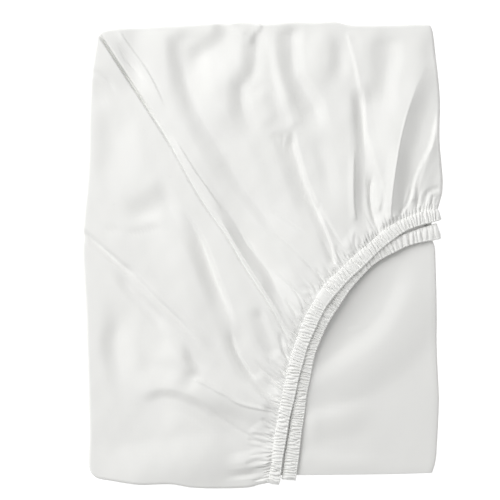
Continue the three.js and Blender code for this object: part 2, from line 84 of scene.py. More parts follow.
# How far each edging reaches either side of its line: (share of the line, left, right).
UPPER_REACH = [
    (0.0, 6.2, 5.8), (0.15, 6.6, 6.5), (0.27, 6.8, 7.3), (0.4, 7.0, 8.0), (0.52, 7.0, 8.7),
    (0.62, 7.2, 8.7), (0.72, 7.0, 8.2), (0.82, 6.8, 7.4), (1.0, 6.5, 7.3),
]
LOWER_REACH = [
    (0.0, 9.6, 6.5), (0.15, 7.8, 6.9), (0.27, 6.6, 7.2), (0.4, 6.0, 8.0), (0.52, 6.0, 8.6),
    (0.62, 6.0, 8.6), (0.72, 6.4, 8.0), (0.82, 7.0, 7.2), (0.92, 7.4, 7.3), (0.97, 8.8, 7.4),
    (1.0, 10.2, 7.4),
]
# Right-hand, lower and upper edges of the stack: (along, across) pairs.
STACK_RIGHT = [
    (-244, 185), (-238, 189), (-224, 191.5), (-160, 193), (-60, 191.5), (8, 190.5), (18, 187),
    (60, 186), (110, 188.5), (150, 189), (200, 185), (246, 180),
]
STACK_FRONT = [(-190, -236), (-160, -242), (40, -242.6), (140, -241.5), (193, -240)]
STACK_BACK = [(-190, 231), (-150, 243), (193, 245)]

# A fold runs along its path. `rise` is its height, negative for a trough; `left` and `right` are how
# far it spreads on either hand of someone walking along it; `fade_in` and `fade_out` are the shares
# of its length that taper; `crease` goes from 0, a soft bell, to 1, a sharp crest. The tables below
# have these values in this order.
Fold = namedtuple("Fold", "path rise left right fade_in fade_out crease")


def arc(start, via, end, rise, left, right, fade, crease=0.0):
    """A fold on a curve through three points, which tapers alike at both ends."""
    return (start, via, end), rise, left, right, fade, fade, crease


# The main folds. The solid has most of them, lower and in a plainer form.
MAIN_FOLDS = [
    # the corner seam: a trough beside a low ridge, the drop along its lower half, the raised corner
    arc((-182, 246), (-132, 170), (-92, 106), -1.8, 24, 3, 0.2, 0.4),
    arc((-178, 246), (-75, 90), (36, -98), 0.8, 12, 10, 0.1),
    ([(-60, 78), (-44, 56), (-33, 40), (-21, 20), (-7, 0), (8, -20), (18, -42), (32, -66)],
     -5.2, 26, 13, 0.35, 0.2, 0.4),
    ([(-192, 170), (-190, 200), (-184, 230), (-168, 247), (-125, 252)], 6.0, 10, 66, 0.3, 0.35, 0.3),
    # top panel, from the seam to the right edge
    arc((-106, 256), (-98, 178), (-38, 78), 2.6, 20, 34, 0.15),
    ([(-19, 254), (-24, 235), (-26, 215), (-30, 200), (-38, 190), (-41, 176), (-39, 160), (-34, 145),
      (-24, 126)], 3.9, 22, 44, 0.1, 0.3, 0.0),
    arc((10, 256), (22, 195), (33, 150), 2.0, 24, 12, 0.3),
    ([(31.5, 139), (34.5, 118), (39, 102), (45, 82), (53, 62), (62, 42), (69, 26)],
     -5.6, 6, 22, 0.17, 0.35, 0.4),
    arc((66, 256), (66, 220), (62, 180), 2.6, 22, 22, 0.4),
    arc((91, 190), (96, 100), (100, 16), 2.0, 12, 36, 0.25),
    ([(105, 189), (110.5, 165), (113, 140), (114, 110), (113, 80), (111.5, 55), (112, 36), (117, 12)],
     -4.2, 36, 13, 0.16, 0.4, 0.2),
    arc((106, 254), (118, 178), (133, 70), 2.4, 26, 15, 0.2),
    arc((120, 96), (121, 58), (131, 12), -2.2, 7, 7, 0.3),
    ([(188, 222), (178, 204), (170, 187), (163, 168), (157, 148), (152, 128), (148, 108), (144.5, 85),
      (142, 62), (141, 38)], 1.2, 27, 34, 0.1, 0.25, 0.1),
    arc((176, 256), (172, 225), (160, 184), 1.4, 17, 30, 0.25),
    arc((198, 165), (184, 106), (165, 54), 1.4, 14, 6, 0.2),
    # left panel, below the seam
    ([(-150, 34), (-122, 35), (-96, 43)], 1.8, 12, 20, 0.4, 0.4, 0.0),
    ([(-151, 31), (-133, 43), (-113, 55), (-93, 66)], -3.8, 24, 40, 0.4, 0.25, 0.2),
    ([(-92, 54), (-80, 36), (-70, 20), (-62, 2), (-55, -17), (-48, -35), (-40, -54), (-34, -72),
      (-31, -90)], -7.6, 6.5, 21, 0.4, 0.42, 0.5),
    ([(-39, -64), (-30, -95), (-18, -121), (0, -140), (30, -158)], -3.8, 19, 16, 0.3, 0.02, 0.0),
    ([(-16, -136), (-4, -145), (8, -152), (20, -158)], -2.0, 8, 8, 0.3, 0.1, 0.3),
    arc((-62, 44), (-30, -32), (14, -116), 1.2, 22, 22, 0.3),
    ([(-106, 40), (-94, 10), (-80, -20), (-66, -52), (-48, -96)], 3.6, 30, 34, 0.4, 0.5, 0.0),
    arc((-198, 24), (-168, -1), (-136, -24), -2.0, 6, 6, 0.15),
    ([(-128, -62), (-113, -80), (-100, -98), (-93, -112), (-87, -124), (-76, -135)],
     2.4, 15, 36, 0.6, 0.2, 0.4),
    ([(-92, -88), (-90, -103), (-87, -116), (-80, -127), (-70, -137)], 4.4, 12, 40, 0.5, 0.3, 0.3),
    arc((-136, -26), (-96, -62), (-52, -112), 1.8, 10, 16, 0.3),
    arc((-86, -132), (-34, -157), (22, -172), 2.6, 26, 22, 0.2),
    ([(-112, -156), (-94, -180), (-74, -203), (-52, -222), (-30, -238)], 3.6, 38, 50, 0.35, 0.5, 0.0),
    ([(-112, -147), (-96, -147), (-80, -150), (-60, -160), (-40, -173), (-20, -186)],
     3.2, 22, 26, 0.3, 0.4, 0.1),
    ([(-160, -46), (-160, -75), (-162, -95), (-160, -115), (-154, -134), (-143, -160)],
     -4.8, 26, 18, 0.4, 0.5, 0.3),
    arc((-164, 172), (-164, 120), (-161, 62), -3.4, 32, 22, 0.45),
    ([(-186, -247), (-140, -242), (-105, -236), (-70, -230), (-30, -230), (5, -238)],
     4.4, 38, 38, 0.3, 0.4, 0.0),
]

# Finer folds of the pocket, which only the cloth's own surface has.
FINE_FOLDS = [
    # the corner seam: its crevice, the gutter and the hollow beside its upper half, the lifted far edge
    # of its allowance in two parts, the narrow ridge along its lower half and the hollow beside that
    ([(-182, 244), (-168, 226), (-155, 205), (-140, 182), (-120, 153), (-100, 120), (-80, 83),
      (-60, 50), (-40, 22), (-20, -12), (0, -42), (15, -67), (25, -86), (33, -105)],
     -2.1, 4.5, 3.0, 0.02, 0.1, 0.7),
    ([(-178, 241), (-168, 225), (-157, 208), (-145, 190), (-134, 173), (-120, 151),
      (-108, 131)], -5.0, 2.4, 2.0, 0.04, 0.6, 0.4),
    ([(-163, 237), (-151, 222), (-143, 209), (-136, 193), (-127, 172)], -3.0, 11, 15, 0.5, 0.5, 0.0),
    ([(-158, 246), (-148, 231), (-138, 217), (-128, 203), (-120, 189), (-112, 172), (-105, 155)],
     1.5, 2.4, 11, 0.1, 0.3, 0.5),
    ([(-101, 134), (-93, 122), (-84, 107), (-74, 91), (-62, 74), (-50, 57), (-40, 42)],
     1.5, 2.4, 5, 0.3, 0.3, 0.7),
    ([(-50, 46), (-30, 12), (-12, -17), (4, -42), (18, -64), (30, -88)], 1.6, 4, 2.6, 0.2, 0.2, 0.5),
    ([(-33, 40), (-21, 20), (-7, 0), (8, -20), (18, -42)], -3.6, 24, 14, 0.35, 0.3, 0.5),
    # top panel
    ([(-85, 250), (-85, 215), (-84, 190), (-75, 165), (-61, 140), (-49, 118), (-36, 98),
      (-24, 76), (-10, 57), (1, 44), (14, 26), (28, 6)], -4.2, 30, 22, 0.06, 0.45, 0.3),
    ([(-44, 112), (-25, 80), (-10, 60), (1, 46), (14, 30), (26, 12)], -3.0, 45, 13, 0.6, 0.4, 0.3),
    ([(8, 28), (24, 15), (36, 4), (48, -8), (60, -21), (71, -36)], -0.9, 3.5, 3.5, 0.2, 0.1, 0.6),
    ([(-7, 250), (-7, 225), (-8, 210), (-12, 198), (-21, 189), (-24, 178), (-22, 160), (-14, 140),
      (-8, 124)], -2.0, 14, 18, 0.05, 0.3, 0.5),
    ([(-88, 214), (-76, 217), (-62, 222), (-49, 231), (-38, 242), (-30, 251)],
     -4.2, 18, 46, 0.35, 0.15, 0.3),
    ([(-100, 226), (-82, 236), (-62, 248), (-48, 258)], 2.0, 30, 26, 0.3, 0.2, 0.0),
    ([(-16, 230), (-10, 241), (0, 252)], 1.3, 7, 5, 0.3, 0.1, 0.4),
    ([(-5, 184), (3, 162), (10, 138)], 1.8, 13, 17, 0.3, 0.3, 0.1),
    ([(33, 252), (33, 215), (36, 198), (45, 182), (56, 164), (61, 148), (63, 130)],
     -4.4, 15, 20, 0.08, 0.25, 0.3),
    ([(6, 126), (18, 131), (29, 130)], -1.2, 5, 20, 0.4, 0.3, 0.1),
    ([(58, 130), (67, 108), (73, 84), (76, 60)], -1.5, 14, 12, 0.3, 0.4, 0.2),
    ([(14, 205), (24, 178), (32, 154), (36, 138)], 1.4, 13, 9, 0.3, 0.1, 0.4),
    ([(52, 68), (61, 46), (69, 26), (76, 6), (80, -14)], -3.0, 3, 11, 0.3, 0.1, 0.6),
    ([(62, 58), (63, 51), (68, 42), (76, 28), (84, 15), (92, 6), (99, -1)], -1.5, 3.5, 5, 0.1, 0.1, 0.6),
    ([(93, 246), (98, 228), (103, 210), (107, 190), (111, 172), (114, 150), (117, 132), (122, 112),
      (128, 94), (134, 75), (137, 58), (138, 42)], 1.6, 10, 4.2, 0.05, 0.05, 0.8),
    ([(108, 187), (111, 165), (112, 140), (112.5, 112)], -1.8, 3, 16, 0.25, 0.4, 0.5),
    ([(141, 243), (138, 216), (134, 186), (129, 146)], -2.5, 18, 22, 0.15, 0.3, 0.2),
    ([(89, 244), (87, 216), (83, 180)], -1.5, 13, 16, 0.4, 0.4, 0.1),
    ([(101, 120), (100.5, 90), (100.5, 60), (103, 36)], 1.6, 2.5, 8, 0.3, 0.1, 0.8),
    ([(121, 88), (119, 72), (119, 58), (121, 46), (130, 18)], -1.8, 4, 3.5, 0.2, 0.1, 0.5),
    ([(131, 84), (131, 62), (126, 46)], 1.3, 4, 7, 0.3, 0.2, 0.3),
    ([(187, 220), (178, 204), (170, 187), (163, 168), (157, 149), (152, 129), (148, 108), (144.5, 85),
      (142, 62), (140.5, 38)], 7.4, 22, 60, 0.35, 0.4, 0.85),
    ([(152, 129), (148, 108), (144.5, 85), (142, 62), (140, 28)], 4.6, 17, 12, 0.6, 0.15, 0.6),
    ([(172, 191), (163, 168), (157, 149), (152, 129), (148, 108), (144.5, 85), (142, 62), (140.5, 38)],
     0.7, 1.8, 2.2, 0.25, 0.05, 0.6),
    ([(195, 168), (194, 150), (190, 135), (187, 120), (181, 108), (175, 97), (170, 85), (166, 70),
      (163.5, 56)], 2.0, 11, 3.0, 0.1, 0.05, 0.8),
    ([(166, 76), (162, 62), (158, 53), (151, 44)], -1.6, 3, 4, 0.3, 0.1, 0.5),
    ([(199, 73), (188, 71), (181, 66), (177, 56), (178, 48)], -1.2, 5, 5, 0.2, 0.05, 0.3),
    ([(199, 66), (192, 58), (188, 49)], -1.4, 4, 4, 0.1, 0.05, 0.5),
    ([(172, 80), (171, 64), (174, 48)], -1.1, 3.5, 3.5, 0.4, 0.05, 0.3),
    # left panel
    ([(-188, 201), (-178, 197), (-168, 189), (-159, 176)], -1.3, 4.5, 5, 0.05, 0.4, 0.4),
    ([(-183, 171), (-176, 169), (-167, 170)], -0.7, 4, 4, 0.3, 0.3, 0.2),
    ([(-152, 22), (-135, 24), (-120, 28), (-106, 31)], -1.6, 6, 6, 0.25, 0.3, 0.3),
    ([(-174, 20), (-163, 27), (-156, 22)], -1.0, 6, 5, 0.3, 0.3, 0.2),
    ([(-198, 26), (-180, 11), (-160, -8), (-145, -20), (-130, -35), (-115, -50), (-100, -64), (-85, -79),
      (-74, -93), (-64, -105), (-54, -113)], -2.6, 5, 6, 0.02, 0.3, 0.6),
    ([(-160, -8), (-151, -28), (-142, -42), (-130, -55), (-117, -68), (-107, -82), (-99, -95)],
     -3.0, 11, 11, 0.3, 0.3, 0.2),
    ([(-34, -72), (-34, -86), (-31, -98), (-26, -110), (-20, -121), (-12, -132), (-3, -142)],
     -2.6, 4, 7, 0.45, 0.25, 0.6),
    ([(-6, -56), (-1, -70), (5, -86), (11, -100), (18, -114)], -2.8, 8, 15, 0.25, 0.2, 0.3),
    ([(20, -84), (22, -98), (26, -110), (32, -118)], -1.6, 4.5, 4, 0.2, 0.2, 0.5),
    ([(-76, -136), (-62, -142), (-50, -149), (-40, -154), (-30, -161), (-20, -165), (-8, -168),
      (22, -174)], 1.7, 5, 2.8, 0.05, 0.1, 0.7),
    ([(-138, -159), (-130, -153), (-120, -148.5), (-108, -146.5), (-96, -147.5), (-84, -151),
      (-68, -158), (-50, -169), (-34, -179)], 3.2, 28, 12, 0.2, 0.35, 0.4),
    ([(-60, -168), (-42, -181), (-26, -192), (-8, -202), (12, -208)], -1.0, 3.5, 6, 0.3, 0.1, 0.6),
    ([(-44, -244), (-22, -242), (0, -239), (12, -235)], -1.8, 9, 6, 0.4, 0.1, 0.2),
    ([(-14, -197), (0, -199), (18, -201)], -1.3, 3.5, 3.5, 0.3, 0.05, 0.4),
    ([(-16, -202), (-4, -206), (14, -209)], -1.5, 3.5, 3.5, 0.3, 0.05, 0.5),
    ([(-20, -209), (-4, -212), (13, -214)], -0.8, 3.5, 8, 0.3, 0.05, 0.4),
    ([(-20, -232), (-6, -226), (12, -221)], -0.9, 5, 5, 0.3, 0.05, 0.5),
    ([(-46, -232), (-24, -229), (-6, -227), (12, -226)], 3.2, 14, 18, 0.5, 0.05, 0.2),
    ([(0, -178), (6, -186), (18, -193)], -1.4, 3.5, 3.5, 0.3, 0.05, 0.5),
    ([(0, -165), (8, -170), (20, -172)], -1.6, 3, 4, 0.5, 0.05, 0.5),
    ([(-10, -114), (2, -128), (14, -137), (22, -141)], -1.2, 3.5, 3, 0.3, 0.1, 0.5),
    ([(4, -112), (14, -124), (26, -132)], -1.2, 3, 3, 0.3, 0.1, 0.5),
    # between the seam and the edging
    ([(8, 49), (20, 42), (35, 32), (50, 21)], -0.9, 3, 3.5, 0.2, 0.3, 0.5),
    ([(6, -12), (22, -28), (38, -42), (54, -54)], -1.3, 3.5, 3.5, 0.3, 0.1, 0.5),
    ([(26, -22), (34, -36), (42, -50), (48, -68)], -1.2, 3.5, 3, 0.3, 0.1, 0.5),
    ([(24, -46), (32, -58), (40, -72), (46, -80)], -1.4, 3.5, 3.5, 0.3, 0.1, 0.4),
    ([(38, -36), (52, -38), (66, -41)], -1.1, 3, 3.5, 0.3, 0.1, 0.4),
    ([(44, -47), (56, -45), (66, -40)], -1.4, 3, 3, 0.3, 0.1, 0.6),
    ([(58, -14), (64, -24), (70, -38)], -1.3, 3, 3, 0.3, 0.1, 0.5),
    ([(68, -26), (76, -25), (84, -22)], -1.2, 3, 3, 0.3, 0.1, 0.4),
    ([(104, 27), (102, 14), (105, 2)], -1.8, 13, 4, 0.3, 0.1, 0.5),
    ([(90, 0), (100, 14), (112, 30)], 2.0, 12, 18, 0.3, 0.3, 0.2),
    ([(-14, -150), (-4, -140), (8, -131)], 1.6, 10, 20, 0.3, 0.3, 0.2),
    ([(-14, -201), (-4, -192), (7, -184)], 1.2, 8, 16, 0.3, 0.3, 0.2),
    ([(96, 0), (98, -8), (102, -14)], -1.4, 3, 3, 0.3, 0.1, 0.5),
    ([(78, 8), (86, 2), (92, -8)], -0.9, 6, 6, 0.3, 0.2, 0.2),
]

# Soft waves of the plain panel: the rise beside the edging, a slanting wave and two nearly level ones.
PANEL_FOLDS = [
    ([(36, -225), (41, -170), (57, -98), (83, -54), (116, -20), (162, 4)], 6.4, 10, 34, 0.4, 0.35, 0.8),
    ([(54, -156), (85, -132), (107, -117), (129, -101), (149, -77), (164, -46), (178, -8)],
     4.2, 24, 46, 0.15, 0.25, 0.0),
    ([(44, -186), (78, -180), (105, -174), (136, -164)], 3.0, 15, 28, 0.15, 0.5, 0.0),
    ([(38, -222), (60, -226), (84, -229), (112, -230), (150, -232)], 1.6, 10, 18, 0.1, 0.5, 0.2),
]

# How far the gathers lean along the edging for each step away from it: (share of the line, lean).
GATHER_LEAN = [(0, -0.4), (0.07, -0.25), (0.15, 0.25), (0.3, 0.45), (0.42, 0.6), (0.52, 0.3), (0.7, 0.15),
               (0.85, 0.3), (1, 0.4)]

# Grid lines of the outer pocket: the share of the edging at which each ends, where it starts on the
# rim and what it passes on the way. They follow the folds.
POCKET_GUIDES = [
    (0.012, (8.6, -251.2), (7.6, -249.8)), (0.07, (-40, -256), (-8, -238)),
    (0.155, (-120, -253), (-42, -226)), (0.20, (-190, -222), (-85, -198)),
    (0.235, (-192, -140), (-84, -156)), (0.28, (-194, -70), (-72, -124)),
    (0.33, (-197, 5), (-58, -84)), (0.385, (-192, 110), (-58, -6)),
    (0.42, (-184, 224), (-80, 76)), (0.44, (-180, 240), (-72, 86)),
    (0.46, (-166, 248), (-64, 94)), (0.53, (-108, 252), (-38, 96)),
    (0.59, (-50, 254), (0, 96)), (0.65, (0, 254), (34, 104)),
    (0.70, (52, 255.5), (70, 112)), (0.75, (96, 253), (104, 122)),
    (0.81, (132, 253), (128, 132)), (0.86, (176, 253), (154, 140)),
    (0.89, (191, 215), (166, 122)), (0.91, (196, 130), (172, 84)),
    (0.988, (193.6, 49), (188.5, 50)),
]


# ---- small helpers ----
CURVE_DIVISIONS = 200           # steps of a plan curve before it is resampled


def smooth(start, end, value):
    """0 before start, 1 after end, and 3f^2 - 2f^3 of the share f between them."""
    f = np.clip((value - start) / (end - start), 0, 1)
    return f * f * (3 - 2 * f)


def mix(a, b, f):
    """From a to b by the share f."""
    return a + (b - a) * f


def look_up(pairs, at):
    """Value of a table of (key, value) pairs at `at`, straight between rows."""
    keys, values = np.array(pairs, float).T
    return np.interp(at, keys, values)


def catmull_rom(points, t):
    """Centripetal Catmull-Rom curve through the points at t from 0 to 1: between two points it is the
    cubic that leaves and arrives along the slopes weighted by the square roots of the distances."""
    points = np.array(points, float)
    padded = np.vstack([2 * points[0] - points[1], points, 2 * points[-1] - points[-2]])
    place = t * (len(points) - 1)
    i = np.minimum(place.astype(int), len(points) - 2)
    f = (place - i)[:, None]
    p0, p1, p2, p3 = (padded[i + k] for k in range(4))
    g0, g1, g2 = (np.sqrt(np.linalg.norm(b - a, axis=1))[:, None] for a, b in ((p0, p1), (p1, p2), (p2, p3)))
    leave = ((p1 - p0) / g0 - (p2 - p0) / (g0 + g1) + (p2 - p1) / g1) * g1
    arrive = ((p2 - p1) / g1 - (p3 - p1) / (g1 + g2) + (p3 - p2) / g2) * g1
    return (p1 + leave * f + (3 * (p2 - p1) - 2 * leave - arrive) * f ** 2
            + (2 * (p1 - p2) + leave + arrive) * f ** 3)


def plan_curve(points, steps):
    """A smooth plan curve through points, resampled to even steps."""
    t = np.linspace(0, 1, CURVE_DIVISIONS + 1)
    coarse = catmull_rom(points, t)
    reach = np.concatenate([[0], np.cumsum(np.linalg.norm(np.diff(coarse, axis=0), axis=1))])
    return catmull_rom(points, np.interp(np.linspace(0, reach[-1], steps + 1), reach, t))


def along(line, fraction):
    """Points of an evenly stepped line at fractions of its length."""
    places = np.linspace(0, 1, len(line))
    fraction = np.clip(fraction, 0, 1)
    return np.stack([np.interp(fraction, places, line[:, k]) for k in (0, 1)], axis=-1)


def heading(line, fraction, span=0.01):
    """Unit vectors along a line at fractions of it, measured over a span either way."""
    step = along(line, fraction + span) - along(line, fraction - span)
    return step / np.linalg.norm(step, axis=-1, keepdims=True)


def right_hand(v):
    """Plan vectors turned a quarter to the right."""
    return np.stack([v[..., 1], -v[..., 0]], axis=-1)


def line_length(line):
    return np.linalg.norm(np.diff(line, axis=0), axis=1).sum()


Near = namedtuple("Near", "distance left fraction")


def nearest_on(line, x, y):
    """The nearest place on a polyline: how far it is, the hand it lies on and how far along it is."""
    best = Near(np.full(x.shape, np.inf), np.zeros(x.shape, bool), np.zeros(x.shape))
    for i, (a, b) in enumerate(zip(line[:-1], line[1:])):
        dx, dy = b - a
        f = np.clip(((x - a[0]) * dx + (y - a[1]) * dy) / (dx * dx + dy * dy), 0, 1)
        off_x, off_y = x - a[0] - f * dx, y - a[1] - f * dy
        distance = np.hypot(off_x, off_y)
        closer = distance < best.distance
        best.distance[closer] = distance[closer]
        best.left[closer] = (dx * off_y - dy * off_x > 0)[closer]
        best.fraction[closer] = ((i + f) / (len(line) - 1))[closer]
    return best


def share_near(line, point):
    """The share of a line at which it passes nearest to one point."""
    return float(nearest_on(line, *np.array(point, float)[:, None]).fraction[0])


# ---- folds ----
FOLD_STEPS = 14
CREST_ROUNDING = 0.004          # keeps the tip of a crease from being a bare corner


def fold_line(path):
    """Three points: the quadratic curve that passes the middle one halfway. More: a smooth curve."""
    if len(path) > 3:
        return plan_curve(path, 2 * FOLD_STEPS)
    start, via, end = np.array(path, float)
    t = np.linspace(0, 1, FOLD_STEPS + 1)[:, None]
    control = 2 * via - (start + end) / 2
    return (1 - t) ** 2 * start + 2 * t * (1 - t) * control + t ** 2 * end


def fold_height(folds, x, y):
    """Sum of the folds: across each line a bell (1 - q^2)^2, or (1 - q)^2 where it is creased, with q
    the distance over the spread on that hand, and tapered at both ends."""
    total = np.zeros(x.shape)
    for fold in (Fold(*row) for row in folds):
        line = fold_line(fold.path)
        reach = max(fold.left, fold.right)
        lowest, highest = line.min(0) - reach, line.max(0) + reach
        near_box = (x > lowest[0]) & (x < highest[0]) & (y > lowest[1]) & (y < highest[1])
        near = nearest_on(line, x[near_box], y[near_box])
        q = np.minimum(near.distance / np.where(near.left, fold.left, fold.right), 1)
        bell = (1 - q * q) ** 2
        crest = (1 - np.sqrt(q * q + CREST_ROUNDING)).clip(0) ** 2
        taper = smooth(0, fold.fade_in, near.fraction) * smooth(0, fold.fade_out, 1 - near.fraction)
        total[near_box] += fold.rise * mix(bell, crest, fold.crease) * taper
    return total


def soft_waves(x, y, seed, lengths, height):
    """Faint unevenness of laid cloth: the mean of sine waves of those lengths in seeded directions."""
    rng = np.random.default_rng(seed)
    total = np.zeros(np.shape(x))
    for length in lengths:
        turn, phase = rng.uniform(0, 2 * np.pi, 2)
        total += np.sin((x * np.cos(turn) + y * np.sin(turn)) * 2 * np.pi / length + phase)
    return total * height / len(lengths)


# ---- plan curves and heights ----
rim_curve = plan_curve(POCKET_RIM, 900)
upper_curve = plan_curve(UPPER_LINE, 240)
lower_curve = plan_curve(LOWER_LINE, 240)


def cloth_edge(curve, reach, fraction, tuck=0.0):
    """The cloth's edge beside a stretch of edging: its reach and the gap to the left of it."""
    offset = look_up([row[:2] for row in reach], fraction) + EDGING_GAP - tuck
    return along(curve, fraction) - right_hand(heading(curve, fraction)) * offset[..., None]


EDGE_PLACES = np.linspace(0, 1, 121)
upper_edge = cloth_edge(upper_curve, UPPER_REACH, EDGE_PLACES)
lower_edge = cloth_edge(lower_curve, LOWER_REACH, EDGE_PLACES)


def gape(x, y):
    """How open the pockets' mouth is: a round bell about its middle."""
    return np.exp(-((x - MOUTH_X) ** 2 + (y - MOUTH_Y) ** 2) / (2 * MOUTH_SPREAD ** 2))


def upper_height(x, y):
    """Mid-height of the upper edging, which lifts at the mouth. The lower one follows it."""
    return UPPER_EDGING + MOUTH_RISE * gape(x, y)


def lower_height(x, y):
    return LOWER_EDGING + MOUTH_RISE * gape(x, y)


def pocket_height(x, y, distance):
    """Outer face of the pocket: the edging's height, a slow swell away from it, the main and fine
    folds, which set in with the distance from the edging, and faint waves."""
    swell = POCKET_SWELL * smooth(0, SWELL_REACH, distance)
    folds = fold_height(MAIN_FOLDS, x, y) * smooth(*MAIN_FADE, distance)
    fine = fold_height(FINE_FOLDS, x, y) * smooth(*FINE_FADE, distance)
    waves = soft_waves(x, y, seed=5, lengths=(46, 38, 29, 23, 19, 61), height=0.35)
    return upper_height(x, y) + swell + folds + fine + waves + POCKET_THICK / 2


def inner_height(x, y):
    """Mid-height of the inner pocket's cloth: from the lower edging down to its level on the stack."""
    near = nearest_on(lower_edge, x, y)
    return mix(lower_height(x, y), INNER_LEVEL, smooth(0, INNER_RISE, near.distance))


# ---- gathers: pleats shared by an edging and the cloth it gathers ----
class Gathers:
    """Pleats along a line. A step is the pitch, off by up to the share `spread`, times `widths`, which
    are (share of the line, factor) pairs. `ridge` is 1 on the pleats and dips by each valley's own depth
    between them, by a power of the sine of the phase."""

    def __init__(self, length, pitch, seed, spread=0.35, widths=((0, 1), (1, 1))):
        rng = np.random.default_rng(seed)
        steps = rng.uniform(1 - spread, 1 + spread, int(length / pitch))
        steps *= look_up(widths, np.linspace(0, 1, len(steps)))
        self.valleys = np.concatenate([[0], np.cumsum(steps)]) * (length / steps.sum())
        self.depths = rng.uniform(0.4, 1.0, len(self.valleys))
        self.reaches = rng.uniform(0, 1, len(self.valleys))

    def phase(self, place):
        """The count of valleys passed, with the share of the way to the next."""
        return np.interp(place, self.valleys, np.arange(len(self.valleys)))

    def valley_value(self, place, values):
        """Value between those that the valleys have."""
        return np.interp(place, self.valleys, values)

    def ridge(self, place, power):
        rise = np.abs(np.sin(np.pi * self.phase(place))) ** power
        return 1 - self.valley_value(place, self.depths) * (1 - rise)

    def ease(self, middle, half):
        """Takes nine tenths of the valleys' depth for a stretch."""
        self.depths *= 1 - 0.9 * np.exp(-((self.valleys - middle) / half) ** 4)


PLEAT_PITCH, TUCK_PITCH, PUCKER_PITCH, FURROW_PITCH = 3.4, 5.6, 8.5, 19.0
WIDER_AT_THE_END = ((0, 1), (0.72, 1), (0.88, 1.7), (1, 2))
upper_length, lower_length = line_length(upper_curve), line_length(lower_curve)
upper_pleats = Gathers(upper_length, PLEAT_PITCH, seed=11)
upper_tucks = Gathers(upper_length, TUCK_PITCH, seed=14)
upper_puckers = Gathers(upper_length, PUCKER_PITCH, seed=12, spread=0.45)
upper_furrows = Gathers(upper_length, FURROW_PITCH, seed=13, spread=0.5)
lower_pleats = Gathers(lower_length, PLEAT_PITCH, seed=21, widths=WIDER_AT_THE_END)
lower_tucks = Gathers(lower_length, TUCK_PITCH, seed=22, widths=WIDER_AT_THE_END)
plain_place = upper_length * share_near(upper_curve, PLAIN_STRETCH)
for gathers in (upper_pleats, upper_tucks):
    gathers.ease(plain_place, PLAIN_HALF)


# ---- closed sheets from grids ----
def grid_normals(grid):
    """Unit normals from the differences between neighbouring grid points."""
    across = np.gradient(grid, axis=0)
    down = np.gradient(grid, axis=1)
    normals = np.cross(across, down)
    return normals / np.linalg.norm(normals, axis=2, keepdims=True)


def closed_sheet(outer, inner, ratio=1):
    """Vertices and triangles of a sheet with an outer grid and an inner one that has every ratio-th
    point of it, walled all round. A wall cell is a fan from its two inner points."""
    ni, nj = outer.shape[:2]
    mi, mj = inner.shape[:2]
    top = np.arange(ni * nj).reshape(ni, nj)
    base = ni * nj + np.arange(mi * mj).reshape(mi, mj)

    def cells(index, turned):
        a, b, c, d = index[:-1, :-1], index[1:, :-1], index[1:, 1:], index[:-1, 1:]
        quads = np.stack([a, d, c, b] if turned else [a, b, c, d], axis=-1).reshape(-1, 4)
        return np.concatenate([quads[:, [0, 1, 2]], quads[:, [0, 2, 3]]])

    def wall(fine, coarse):
        faces = []
        half = ratio // 2
        starts = np.arange(len(coarse) - 1)
        for j in range(ratio):
            hub = coarse[starts] if j < half or ratio == 1 else coarse[starts + 1]
            faces.append(np.stack([fine[starts * ratio + j + 1], fine[starts * ratio + j], hub], axis=1))
        middle = half if ratio > 1 else ratio
        faces.append(np.stack([fine[starts * ratio + middle], coarse[starts], coarse[starts + 1]], axis=1))
        return np.concatenate(faces)

    faces = [
        cells(top, False), cells(base, True),
        wall(top[:, 0], base[:, 0]), wall(top[::-1, -1], base[::-1, -1]),
        wall(top[0, ::-1], base[0, ::-1]), wall(top[-1], base[-1]),
    ]
    return np.concatenate([outer.reshape(-1, 3), inner.reshape(-1, 3)]), np.concatenate(faces)


def ring_tube(rings):
    """Vertices and triangles of a closed tube from rings of points, with a fan at each end."""
    count, sides = rings.shape[:2]
    index = np.arange(count * sides).reshape(count, sides)
    a, b = index, np.roll(index, -1, axis=1)
    quads = np.stack([b[:-1], a[:-1], a[1:], b[1:]], axis=-1).reshape(-1, 4)
    ends = [count * sides, count * sides + 1]
    faces = [quads[:, [0, 1, 2]], quads[:, [0, 2, 3]]]
    faces.append(np.stack([np.full(sides, ends[0]), a[0], b[0]], axis=1))
    faces.append(np.stack([np.full(sides, ends[1]), b[-1], a[-1]], axis=1))
    middles = np.stack([rings[0].mean(0), rings[-1].mean(0)])
    return np.concatenate([rings.reshape(-1, 3), middles]), np.concatenate(faces)


# ---- the stack ----
LEFT_WALL = -170.0              # the pocket's rim left of this is its wall
ROUGH_HALF_DEPTH = 240.0        # half the stack's depth, before its edges are looked up


def left_end(bend, y):
    """Left end of the cloth at a bend of the stack: by the pocket's wall, in at the corners, and for
    the inner folds 5 to 9 mm further in."""
    wall = rim_curve[rim_curve[:, 0] < LEFT_WALL]
    wall = wall[np.argsort(wall[:, 1])]
    pull = 0.9 * np.maximum(0, np.abs(y + 5) - 222)
    inset = np.where(bend == 0, 0, 7 + 2 * np.sin(bend + y / 70))
    return np.interp(y, wall[:, 1], wall[:, 0]) + POCKET_THICK / 2 + pull + inset


def right_end(bend, y):
    """Right end of the cloth at a bend: the stack's edge, less up to 1.9 mm that differs by layer."""
    wander = 1.4 * np.abs(np.sin(2 * bend + y / 90)) + 0.5 * np.sin(3.1 * bend + y / 23)
    return look_up(STACK_RIGHT, y) - wander


